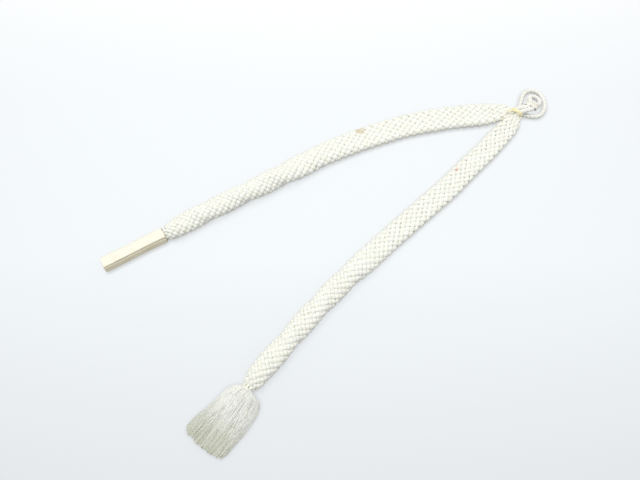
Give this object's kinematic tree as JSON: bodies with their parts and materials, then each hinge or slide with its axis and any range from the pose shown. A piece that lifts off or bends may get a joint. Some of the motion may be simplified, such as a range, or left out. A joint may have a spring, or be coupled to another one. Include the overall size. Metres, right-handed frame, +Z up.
{
  "type": "braided tassel cord pair",
  "caption": "Pair of flat-to-round braided dress cords, each with a thin cord loop and a tassel, tied together at the loops; one tassel sits in a rolled paper sleeve.",
  "frame": {"origin": "on the plane the cords lie on, under the middle of the thread tie", "axes": "+Z up from that plane; +X from the sleeved tassel's side towards the loops; +Y across, so that the open tassel lies at -Y"},
  "size_m": [0.3402, 0.2837, 0.0124],
  "materials": {
    "braid_silk": "off-white silk yarn braid, soft satin sheen along the filaments",
    "loop_cord": "thin round braided silk cord, off-white, soft sheen",
    "tassel_silk": "loose silk threads, off-white with a slight green-grey cast in the shade",
    "binding_thread": "fine off-white binding thread, wound close",
    "tie_thread": "thin golden yellow thread, satin",
    "paper": "rolled cream paper, matt, with a lengthwise crease"
  },
  "bodies": {
    "tied_loops": {"tie_thread": "tie_thread", "cord_1_loop": "loop_cord", "cord_2_loop": "loop_cord", "cord_2_loop_whipping": "binding_thread"},
    "cord_1_length_1": {"cord_1_braid_1": "braid_silk"},
    "cord_1_length_2": {"cord_1_braid_2": "braid_silk"},
    "cord_1_length_3": {"cord_1_braid_3": "braid_silk"},
    "cord_1_length_4": {"cord_1_braid_4": "braid_silk"},
    "cord_1_length_5": {"cord_1_braid_5": "braid_silk"},
    "cord_1_tassel": {"cord_1_tassel": "tassel_silk", "cord_1_seizing": "binding_thread"},
    "cord_1_sleeve": {"cord_1_paper_sleeve": "paper"},
    "cord_2_length_1": {"cord_2_braid_1": "braid_silk"},
    "cord_2_length_2": {"cord_2_braid_2": "braid_silk"},
    "cord_2_length_3": {"cord_2_braid_3": "braid_silk"},
    "cord_2_length_4": {"cord_2_braid_4": "braid_silk"},
    "cord_2_length_5": {"cord_2_braid_5": "braid_silk"},
    "cord_2_tassel": {"cord_2_seizing": "binding_thread", "cord_2_fringe_5": "tassel_silk"},
    "cord_2_lock_1": {"cord_2_fringe_1": "tassel_silk"},
    "cord_2_lock_2": {"cord_2_fringe_2": "tassel_silk"},
    "cord_2_lock_3": {"cord_2_fringe_3": "tassel_silk"},
    "cord_2_lock_4": {"cord_2_fringe_4": "tassel_silk"},
    "cord_2_lock_6": {"cord_2_fringe_6": "tassel_silk"},
    "cord_2_lock_7": {"cord_2_fringe_7": "tassel_silk"},
    "cord_2_lock_8": {"cord_2_fringe_8": "tassel_silk"},
    "cord_2_lock_9": {"cord_2_fringe_9": "tassel_silk"}
  },
  "joints": [
    {"name": "cord_1_swing", "type": "hinge", "parent": "tied_loops", "child": "cord_1_length_1", "pos_m": [-0.00493, 0.00004, 0.0023], "axis": [0, 0, -1], "range_deg": [0, 60]},
    {"name": "cord_1_lift_1", "type": "hinge", "parent": "cord_1_length_1", "child": "cord_1_length_2", "pos_m": [-0.06132, -0.00542, 0.00275], "axis": [-0.1767, 0.9843, 0], "range_deg": [0, 50]},
    {"name": "cord_1_lift_2", "type": "hinge", "parent": "cord_1_length_2", "child": "cord_1_length_3", "pos_m": [-0.11579, -0.02083, 0.00275], "axis": [-0.3624, 0.932, 0], "range_deg": [0, 50]},
    {"name": "cord_1_sway_3", "type": "hinge", "parent": "cord_1_length_3", "child": "cord_1_length_4", "pos_m": [-0.16699, -0.04509, 0.006], "axis": [0, 0, 1], "range_deg": [-30, 30]},
    {"name": "cord_1_sway_4", "type": "hinge", "parent": "cord_1_length_4", "child": "cord_1_length_5", "pos_m": [-0.21654, -0.07265, 0.006], "axis": [0, 0, 1], "range_deg": [-30, 30]},
    {"name": "cord_1_tassel_lift", "type": "hinge", "parent": "cord_1_length_5", "child": "cord_1_tassel", "pos_m": [-0.26604, -0.10031, 0.0045], "axis": [-0.4879, 0.8729, 0], "range_deg": [0, 60]},
    {"name": "cord_1_sleeve_slide", "type": "slide", "parent": "cord_1_tassel", "child": "cord_1_sleeve", "axis": [-0.8729, -0.4879, 0], "range_m": [0, 0.055]},
    {"name": "cord_2_swing", "type": "hinge", "parent": "tied_loops", "child": "cord_2_length_1", "pos_m": [-0.00243, -0.00429, 0.0023], "axis": [0, 0, 1], "range_deg": [0, 60]},
    {"name": "cord_2_lift_1", "type": "hinge", "parent": "cord_2_length_1", "child": "cord_2_length_2", "pos_m": [-0.04071, -0.04637, 0.00275], "axis": [-0.7146, 0.6995, 0], "range_deg": [0, 50]},
    {"name": "cord_2_lift_2", "type": "hinge", "parent": "cord_2_length_2", "child": "cord_2_length_3", "pos_m": [-0.0818, -0.08572, 0.00276], "axis": [-0.6749, 0.7379, 0], "range_deg": [0, 50]},
    {"name": "cord_2_sway_3", "type": "hinge", "parent": "cord_2_length_3", "child": "cord_2_length_4", "pos_m": [-0.12364, -0.12429, 0.006], "axis": [0, 0, 1], "range_deg": [-30, 30]},
    {"name": "cord_2_sway_4", "type": "hinge", "parent": "cord_2_length_4", "child": "cord_2_length_5", "pos_m": [-0.16334, -0.16503, 0.006], "axis": [0, 0, 1], "range_deg": [-30, 30]},
    {"name": "cord_2_tassel_sway", "type": "hinge", "parent": "cord_2_length_5", "child": "cord_2_tassel", "pos_m": [-0.20041, -0.20819, 0.0044], "axis": [0, 0, 1], "range_deg": [-40, 40]},
    {"name": "cord_2_fan", "type": "hinge", "parent": "cord_2_tassel", "child": "cord_2_lock_1", "pos_m": [-0.20516, -0.21393, 0.0035], "axis": [0, 0, -1], "range_deg": [-6, 12]},
    {"name": "cord_2_fan_2", "type": "hinge", "parent": "cord_2_tassel", "child": "cord_2_lock_2", "pos_m": [-0.20516, -0.21393, 0.0035], "axis": [0, 0, -1], "range_deg": [-4.5, 9]},
    {"name": "cord_2_fan_3", "type": "hinge", "parent": "cord_2_tassel", "child": "cord_2_lock_3", "pos_m": [-0.20516, -0.21393, 0.0035], "axis": [0, 0, -1], "range_deg": [-3, 6]},
    {"name": "cord_2_fan_4", "type": "hinge", "parent": "cord_2_tassel", "child": "cord_2_lock_4", "pos_m": [-0.20516, -0.21393, 0.0035], "axis": [0, 0, -1], "range_deg": [-1.5, 3]},
    {"name": "cord_2_fan_6", "type": "hinge", "parent": "cord_2_tassel", "child": "cord_2_lock_6", "pos_m": [-0.20516, -0.21393, 0.0035], "axis": [0, 0, -1], "range_deg": [-3, 1.5]},
    {"name": "cord_2_fan_7", "type": "hinge", "parent": "cord_2_tassel", "child": "cord_2_lock_7", "pos_m": [-0.20516, -0.21393, 0.0035], "axis": [0, 0, -1], "range_deg": [-6, 3]},
    {"name": "cord_2_fan_8", "type": "hinge", "parent": "cord_2_tassel", "child": "cord_2_lock_8", "pos_m": [-0.20516, -0.21393, 0.0035], "axis": [0, 0, -1], "range_deg": [-9, 4.5]},
    {"name": "cord_2_fan_9", "type": "hinge", "parent": "cord_2_tassel", "child": "cord_2_lock_9", "pos_m": [-0.20516, -0.21393, 0.0035], "axis": [0, 0, -1], "range_deg": [-12, 6]}
  ],
  "couplings": [
    {"joint": "cord_2_fan_2", "follows": "cord_2_fan", "ratio": 0.75},
    {"joint": "cord_2_fan_3", "follows": "cord_2_fan", "ratio": 0.5},
    {"joint": "cord_2_fan_4", "follows": "cord_2_fan", "ratio": 0.25},
    {"joint": "cord_2_fan_6", "follows": "cord_2_fan", "ratio": -0.25},
    {"joint": "cord_2_fan_7", "follows": "cord_2_fan", "ratio": -0.5},
    {"joint": "cord_2_fan_8", "follows": "cord_2_fan", "ratio": -0.75},
    {"joint": "cord_2_fan_9", "follows": "cord_2_fan", "ratio": -1}
  ]
}
